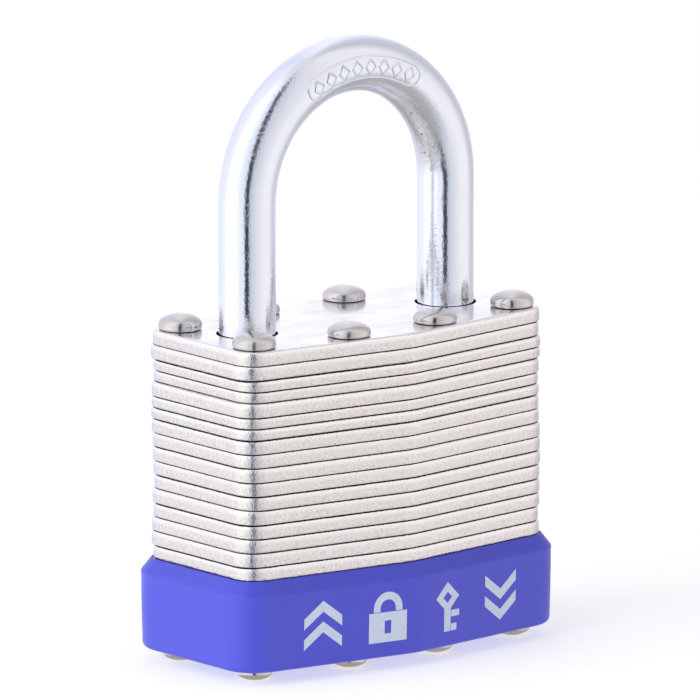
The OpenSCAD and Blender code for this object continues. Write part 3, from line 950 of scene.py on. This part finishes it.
# %% Base cover
COVER_SECTION = [
    ({"Wall": 1.0, "Draft": -1.0, "Foot": -3.4}, {}, 0),
    ({"Wall": 1.0, "Draft": -1.0, "Foot": -1.0}, {}, 0),
    ({"Wall": 1.0, "Draft": -1.0, "Foot": -0.617}, {"Foot": 0.076}, 0),
    ({"Wall": 1.0, "Draft": -1.0, "Foot": -0.293}, {"Foot": 0.293}, 0),
    ({"Wall": 1.0, "Draft": -0.9, "Foot": -0.076}, {"Foot": 0.617}, 0),
    ({"Wall": 1.0, "Draft": -0.8}, {"Foot": 1.0}, 0),
    ({"Wall": 1.0, "Draft": -0.3}, {"Height": 0.4}, 0),
    ({"Wall": 1.0}, {"Height": 0.65}, 0),
    ({"Wall": 1.0}, {"Height": 1.0, "Bevel": -1.26}, 0),
    ({"Wall": 1.025}, {"Height": 1.0, "Bevel": -1.16}, 0),
    ({"Wall": 1.03}, {"Height": 1.0, "Bevel": -1.06}, 0),
    ({"Wall": 0.98}, {"Height": 1.0, "Bevel": -0.94}, 0),
    ({"Wall": 0.90}, {"Height": 1.0, "Bevel": -0.84}, 0),
    ({"Wall": 0.82}, {"Height": 1.0, "Bevel": -0.76}, 0),
    ({"Wall": 0.26}, {"Height": 1.0, "Bevel": -0.12}, 0),
    ({"Wall": 0.17}, {"Height": 1.0, "Bevel": -0.02}, 0),
    ({"Wall": 0.12}, {"Height": 1.0}, 0),
    ({"Gap": 1.0}, {"Height": 1.0, "Bevel": -0.03}, 0),
    ({"Gap": 1.0}, {"Height": 0.5}, 0),
    ({"Gap": 1.0}, {"Floor": 1.0}, 0),
    ({"Gap": -20.0}, {"Floor": 1.0}, 0),
]


def base_cover():
    low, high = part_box("base_cover")
    plate_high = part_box("top_plate")[1]
    loops = [top_loops[0]] + face_loops("base_cover", -1)[1:]
    sizes = {
        "Wall": high[0] - plate_high[0],
        "Foot": 0.62 * MM,
        "Draft": 0.16 * MM,
        "Height": high[2] - low[2],
        "Bevel": 1.4 * MM,
        "Floor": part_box("bottom_plate")[0][2] - low[2],
        "Gap": 0.05 * MM,
    }
    tree = wall_tree("moulded_cover", COVER_SECTION, sizes)
    piece = bake("moulded_cover", loops_mesh("cover_loops", loops), tree, 40,
                 Base=low[2], Ripple=0.03 * MM, Seed=11.0, Material=VINYL)
    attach(piece, "body")
    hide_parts("base_cover")
    return piece


cover = base_cover()

# %% [markdown]
# ## The shackle
#
# The shackle is a bar whose centre line goes up the toe leg, round half a circle and down the heel
# leg, and whose radius changes on the way: bevelled ends, the retaining neck and the foot. A curve
# with a radius on each point, swept with a circle, says exactly that. The notches for the levers
# are cut with a Boolean.

# %% Sizes of the bar, read from its node
shackle_low, shackle_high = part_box("shackle")
LEG_X = max(p.x for p in LEGS_AT)
BAR_R = -shackle_low[0] - LEG_X
FOOT_R = shackle_high[0] - LEG_X
BOW_Z = shackle_high[2] - BAR_R - LEG_X
cad_points = [v.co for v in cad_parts["shackle"].data.vertices]
TOE_Z = min(p.z for p in cad_points if p.x < 0)
HEEL_Z = shackle_low[2]
heel_points = [(math.hypot(p.x - LEG_X, p.y), p.z) for p in cad_points if p.x > 0 and p.z < BOW_Z]
NECK_Z = max(z for r, z in heel_points if r > BAR_R + 0.1 * MM)
NECK_R = min(r for r, z in heel_points if NECK_Z - 0.1 * MM < z < NECK_Z + 0.1 * MM)
NECK_H = min(z for r, z in heel_points if z > NECK_Z + 0.1 * MM and r > BAR_R - 0.1 * MM) - NECK_Z
lever_low, lever_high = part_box("lever_plate_1")[0][2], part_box("lever_plate_2")[1][2]
NOTCH_Z = (lever_low + lever_high - NECK_H) / 2
NOTCH_DEPTH = BAR_R - NECK_R
END_BEVEL = 0.8 * MM
print("bar radius", round(BAR_R / MM, 2), "neck", round(NECK_R / MM, 2), "toe at", round(TOE_Z / MM, 2))


def bar_route():
    """(x, z, radius) from the toe's tip over the crown to the heel's foot."""
    tiny = 0.01 * MM
    route = [(-LEG_X, TOE_Z, BAR_R - END_BEVEL), (-LEG_X, TOE_Z + END_BEVEL, BAR_R)]
    steps = 24
    route += [(-LEG_X, TOE_Z + END_BEVEL + (BOW_Z - TOE_Z - END_BEVEL) * i / steps, BAR_R)
              for i in range(1, steps)]
    arc = 96
    route += [(-LEG_X * math.cos(math.pi * i / arc), BOW_Z + LEG_X * math.sin(math.pi * i / arc), BAR_R)
              for i in range(arc + 1)]
    above_neck = NECK_Z + NECK_H
    route += [(LEG_X, BOW_Z + (above_neck - BOW_Z) * i / steps, BAR_R) for i in range(1, steps + 1)]
    route += [
        (LEG_X, above_neck - tiny, NECK_R),
        (LEG_X, NECK_Z + tiny, NECK_R),
        (LEG_X, NECK_Z, FOOT_R),
        (LEG_X, HEEL_Z + END_BEVEL, FOOT_R),
        (LEG_X, HEEL_Z, FOOT_R - END_BEVEL),
    ]
    return route


def bar_tree():
    tree, given, result = geometry_tree("bent_bar", [
        ("Notch", VECTOR, (1, 1, 1)), ("Notch inner", FLOAT, 0.0), ("Notch level", FLOAT, 0.0),
        ("Bend", FLOAT, LEG_X), ("Bar", FLOAT, BAR_R), ("Bow level", FLOAT, BOW_Z),
        ("Marks", "NodeSocketInt", 8), ("Mark pitch", FLOAT, 1.78 * MM),
        ("Mark size", FLOAT, 1.0 * MM), ("Mark height", FLOAT, 0.12 * MM),
    ])
    curve = output(tree, "GeometryNodeMeshToCurve", {0: given["Geometry"]})
    upright = output(tree, "GeometryNodeSetCurveNormal", {0: curve}, mode="MINIMUM_TWIST")
    size = attribute(tree, "bar_radius")
    sized = output(tree, "GeometryNodeSetCurveRadius", {"Curve": upright, "Radius": size})
    ring = output(tree, "GeometryNodeCurvePrimitiveCircle", {"Resolution": 72, "Radius": 1.0}, mode="RADIUS")
    bar = output(tree, "GeometryNodeCurveToMesh", {
        "Curve": sized, "Profile Curve": ring, "Fill Caps": True, "Scale": size})
    cut = add(tree, "GeometryNodeMeshBoolean", {}, operation="DIFFERENCE", solver="EXACT")
    tree.links.new(bar, cut.inputs["Mesh 1"])
    for side in (-1, 1):
        block = output(tree, "GeometryNodeMeshCube", {"Size": given["Notch"]})
        x = times(tree, given["Notch inner"], side)
        where = point(tree, X=x, Z=given["Notch level"])
        moved = output(tree, "GeometryNodeTransform", {"Geometry": block, "Translation": where})
        tree.links.new(moved, cut.inputs["Mesh 2"])
    whole = joined(tree, creased(tree, given, cut.outputs[0]), raised_marks(tree, given))
    dress(tree, make_real(tree, whole), given, result)
    return tree


def creased(tree, given, bar):
    """Stores bend: 1 on the bow's inner side, where bending squeezed the steel, and 0 elsewhere."""
    here = here_xyz(tree)
    rise = minus(tree, here["Z"], given["Bow level"])
    flat = point(tree, X=here["X"], Z=rise)
    reach = add(tree, "ShaderNodeVectorMath", {0: flat}, operation="LENGTH").outputs["Value"]
    depth = math_node(tree, "DIVIDE", minus(tree, given["Bend"], reach), given["Bar"])
    inner = spread(tree, depth, 0.45, 0.80)
    bent = spread(tree, rise, 0.0, 0.0015)
    middle_of_bow = spread(tree, math_node(tree, "ABSOLUTE", here["X"]), 0.003, 0.007)
    amount = times(tree, inner, bent, middle_of_bow)
    return stored(tree, bar, "bend", amount)


def raised_marks(tree, given):
    """A row of plain lozenges in an oval frame, wrapped round the front of the bow."""
    size, pitch = given["Mark size"], given["Mark pitch"]

    def bead(line, spacing):
        even = output(tree, "GeometryNodeResampleCurve", {"Curve": line, "Length": spacing}, mode="LENGTH")
        round_wire = output(tree, "GeometryNodeCurvePrimitiveCircle", {
            "Resolution": 10, "Radius": given["Mark height"]}, mode="RADIUS")
        return output(tree, "GeometryNodeCurveToMesh", {"Curve": even, "Profile Curve": round_wire})

    length = times(tree, pitch, minus(tree, given["Marks"], 1))
    first = point(tree, X=times(tree, length, -0.5))
    along = point(tree, X=pitch)
    row = output(tree, "GeometryNodeMeshLine", {
        "Count": given["Marks"], "Start Location": first, "Offset": along}, mode="OFFSET")
    half = times(tree, size, 0.82)
    kite = add(tree, "GeometryNodeCurvePrimitiveQuadrilateral", {
        "Width": times(tree, size, 1.35), "Bottom Height": half, "Top Height": half}, mode="KITE")
    lozenge = bead(kite.outputs[0], 0.12 * MM)
    lozenges = output(tree, "GeometryNodeInstanceOnPoints", {"Points": row, "Instance": lozenge})
    frame_l = plus(tree, length, times(tree, size, 2.9))
    frame_h = times(tree, size, 2.35)
    oblong = output(tree, "GeometryNodeCurvePrimitiveQuadrilateral", {"Width": frame_l, "Height": frame_h})
    oval = output(tree, "GeometryNodeFilletCurve", {
        "Curve": oblong, "Radius": times(tree, size, 1.1), "Count": 10}, mode="POLY")
    border = bead(oval, 0.25 * MM)
    real = make_real(tree, joined(tree, lozenges, border))

    # wrap: X runs along the bow, Y round the bar, Z stands off it
    here = here_xyz(tree)
    round_bow = math_node(tree, "DIVIDE", here["X"], given["Bend"])
    round_bar = math_node(tree, "DIVIDE", here["Y"], given["Bar"])
    off = plus(tree, given["Bar"], here["Z"])
    reach = plus(tree, given["Bend"], times(tree, off, math_node(tree, "SINE", round_bar)))
    x = times(tree, reach, math_node(tree, "SINE", round_bow))
    y = times(tree, off, -1, math_node(tree, "COSINE", round_bar))
    z = plus(tree, given["Bow level"], times(tree, reach, math_node(tree, "COSINE", round_bow)))
    wrapped = point(tree, X=x, Y=y, Z=z)
    return moved_to(tree, real, wrapped)


def shackle():
    route = bar_route()
    mesh = bpy.data.meshes.new("bar_route")
    mesh.from_pydata([(x, 0, z) for x, z, r in route], [(i, i + 1) for i in range(len(route) - 1)], [])
    mesh.attributes.new("bar_radius", "FLOAT", "POINT").data.foreach_set("value", [r for x, z, r in route])
    reach = 1 * MM
    piece = bake(
        "bent_bar", mesh, bar_tree(), 30,
        Notch=(NOTCH_DEPTH + reach, 3 * BAR_R, NECK_H),
        Notch_inner=LEG_X - BAR_R - reach + (NOTCH_DEPTH + reach) / 2,
        Notch_level=NOTCH_Z + NECK_H / 2,
        Material=CHROME,
    )
    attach(piece, "shackle")
    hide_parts("shackle")


shackle()

# %% [markdown]
# ## The printed marks
#
# Four plain pictograms stand where a maker would print a name: chevrons, a padlock, a key, and
# chevrons again. Each is a set of closed outlines. A tree fills them, lays them on the cover's
# front with a Raycast node, and gives the ink its thickness.

# %% Pictograms, in mm round their own middle
STROKE = 0.95


def chevron(tip_y, down=1):
    """One chevron, its tip at tip_y and its arms pointing down (or up)."""
    half, rise = 2.3, 1.75
    outer = [(-half, -rise), (0, 0), (half, -rise), (half, -rise - STROKE * 1.2), (0, -STROKE * 1.2),
             (-half, -rise - STROKE * 1.2)]
    return [(x, tip_y + y * down) for x, y in outer]


def arch(radius, middle_y, foot_y, steps=14):
    """A half circle on two straight legs, as one closed stroke."""
    outer = [(radius * math.cos(math.pi * i / steps), middle_y + radius * math.sin(math.pi * i / steps))
             for i in range(steps + 1)]
    inner_r = radius - STROKE * 0.85
    inner = [(inner_r * math.cos(math.pi * i / steps), middle_y + inner_r * math.sin(math.pi * i / steps))
             for i in range(steps + 1)]
    feet = [(-radius, foot_y), (-inner_r, foot_y)]
    return [(radius, foot_y), *outer, *feet, *inner[::-1], (inner_r, foot_y)]


def oblong(x0, y0, x1, y1):
    return [(x0, y0), (x1, y0), (x1, y1), (x0, y1)]


PICTOGRAMS = [
    (-11.9, [chevron(2.65), chevron(0.45)]),
    (-4.0, [oblong(-2.3, -2.65, 2.3, 0.55), oblong(-0.4, -1.75, 0.4, -0.35), arch(1.75, 0.95, 0.62)]),
    (4.0, [[(-1.7, 1.0), (0, 2.65), (1.7, 1.0), (0.48, -0.2), (0.48, -2.65), (-0.48, -2.65), (-0.48, -0.2)],
           [(-0.65, 1.0), (0, 0.4), (0.65, 1.0), (0, 1.6)],
           oblong(0.56, -1.15, 1.75, -0.45), oblong(0.56, -2.65, 1.35, -1.9)]),
    (11.9, [chevron(-2.65, -1), chevron(-0.45, -1)]),
]
PRINT_Z = 5.8 * MM


def print_tree():
    tree, given, result = geometry_tree("printed_marks", [
        ("Cover", OBJECT, None), ("Thickness", FLOAT, 0.03 * MM),
    ])
    curves = output(tree, "GeometryNodeMeshToCurve", {0: given["Geometry"]})
    film = output(tree, "GeometryNodeFillCurve", {0: curves}, mode="TRIANGLES")
    flat = here_xyz(tree)
    before = point(tree, X=flat["X"], Y=-0.03, Z=flat["Y"])
    stood = moved_to(tree, film, before)
    target = add(tree, "GeometryNodeObjectInfo", {"Object": given["Cover"]}).outputs["Geometry"]
    ray = add(tree, "GeometryNodeRaycast", {
        "Target Geometry": target, "Ray Direction": (0, 1, 0), "Ray Length": 0.1}).outputs["Hit Position"]
    behind = vector_sum(tree, ray, (0, 0.01 * MM, 0))
    laid = moved_to(tree, stood, behind)
    out = times(tree, given["Thickness"], -1)
    lift = point(tree, Y=out)
    front = add(tree, "GeometryNodeExtrudeMesh", {
        "Mesh": laid, "Offset": lift, "Offset Scale": 1.0, "Individual": False}, mode="FACES").outputs["Mesh"]
    both = joined(tree, laid, front)
    closed = output(tree, "GeometryNodeMergeByDistance", {"Geometry": both, "Distance": 1e-7})
    real = make_real(tree, closed)
    dress(tree, real, given, result)
    return tree


def printed_marks():
    points, edges = [], []
    for middle_x, outlines in PICTOGRAMS:
        for outline in outlines:
            start = len(points)
            points += [((middle_x + x) * MM, y * MM + PRINT_Z, 0) for x, y in outline]
            edges += [(start + i, start + (i + 1) % len(outline)) for i in range(len(outline))]
    mesh = bpy.data.meshes.new("pictograms")
    mesh.from_pydata(points, edges, [])
    piece = bake("printed_marks", mesh, print_tree(), 30, Cover=cover, Material=INK)
    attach(piece, "body")


printed_marks()

# %% [markdown]
# ## Springs
#
# A compression spring is a helix whose coils close up at both ends. The spring under the heel and
# those behind the pins are baked in place and ride on no body; the lever springs ride on the body.


# %% Springs
def spring_tree():
    tree, given, result = geometry_tree("wound_spring", [
        ("Length", FLOAT, 0.01), ("Radius", FLOAT, 0.002), ("Wire", FLOAT, 0.0004),
        ("Turns", FLOAT, 5.0), ("Closing", FLOAT, 0.7), ("Turn", VECTOR, (0, 0, 0)),
    ])
    rise = minus(tree, given["Length"], times(tree, given["Wire"], 2))
    helix = output(tree, "GeometryNodeCurveSpiral", {
        "Resolution": 40, "Rotations": given["Turns"], "Start Radius": given["Radius"],
        "End Radius": given["Radius"], "Height": rise})
    here = here_xyz(tree)
    share = math_node(tree, "DIVIDE", here["Z"], rise)
    wave = math_node(tree, "SINE", times(tree, share, 2 * math.pi))
    pull = times(tree, wave, given["Closing"], -0.5 / math.pi)
    height = plus(tree, given["Wire"], times(tree, rise, plus(tree, share, pull)))
    place = point(tree, X=here["X"], Y=here["Y"], Z=height)
    wound = moved_to(tree, helix, place)
    wire = output(tree, "GeometryNodeCurvePrimitiveCircle", {
        "Resolution": 14, "Radius": given["Wire"]}, mode="RADIUS")
    coil = output(tree, "GeometryNodeCurveToMesh", {
        "Curve": wound, "Profile Curve": wire, "Fill Caps": True})
    turned = output(tree, "FunctionNodeEulerToRotation", {0: given["Turn"]})
    placed = output(tree, "GeometryNodeInstanceOnPoints", {
        "Points": given["Geometry"], "Instance": coil, "Rotation": turned})
    real = make_real(tree, placed)
    dress(tree, real, given, result)
    return tree


wound_spring = spring_tree()


def spring(node, starts, **values):
    """Springs of one kind in one piece, one at each of the start points."""
    points = bpy.data.meshes.new(node + "_points")
    points.from_pydata(starts, [], [])
    piece = bake(node + "_wound", points, wound_spring, 40, Material=SPRING, **values)
    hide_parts(node)
    return piece


def springs():
    along_x = (0, math.pi / 2, 0)
    low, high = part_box("shackle_spring")
    wire = 0.4 * MM
    heel = spring("shackle_spring", [(LEG_X, 0, low[2])], Length=high[2] - low[2],
                  Radius=(high[0] - low[0]) / 2 - wire, Wire=wire, Turns=5.0, Closing=0.6)
    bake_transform(heel)
    wire = 0.15 * MM
    for i in range(1, 5):
        low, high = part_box(f"pin_spring_{i}")
        z = (low[2] + high[2]) / 2
        pin = spring(f"pin_spring_{i}", [(low[0], 0, z)], Length=high[0] - low[0],
                     Radius=(high[2] - low[2]) / 2 - wire, Wire=wire, Turns=6.0, Turn=along_x)
        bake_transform(pin)
    low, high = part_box("lever_springs")
    z = (low[2] + high[2]) / 2
    size = (high[2] - low[2]) / 2
    inner = [v.co.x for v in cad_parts["lever_springs"].data.vertices if v.co.x < 0]
    length = max(inner) - low[0]
    levers = spring("lever_springs", [(low[0], high[1] - size, z), (high[0] - length, low[1] + size, z)],
                    Length=length, Radius=size - wire, Wire=wire, Turns=5.0, Turn=along_x)
    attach(levers, "body")


springs()

# %% [markdown]
# ## Inside the lock
#
# The levers, the plug and the pins are turned or stamped pieces that only show when the lock is
# taken apart. They keep the meshes of the engineering model and get a finish of their own.

# %% Inside pieces
INSIDE = {
    "left_lever": LEVER, "right_lever": LEVER, "plug_cam": LEVER, "plug": BRASS, "spring_cover": BRASS,
    "cylinder_housing": ZINC, "plug_clip": SPRING,
}
for i in range(1, 5):
    INSIDE[f"key_pin_{i}"] = BRASS
    INSIDE[f"driver_pin_{i}"] = LEVER
for node, material in INSIDE.items():
    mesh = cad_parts[node].data
    mesh.materials.clear()
    mesh.materials.append(material)
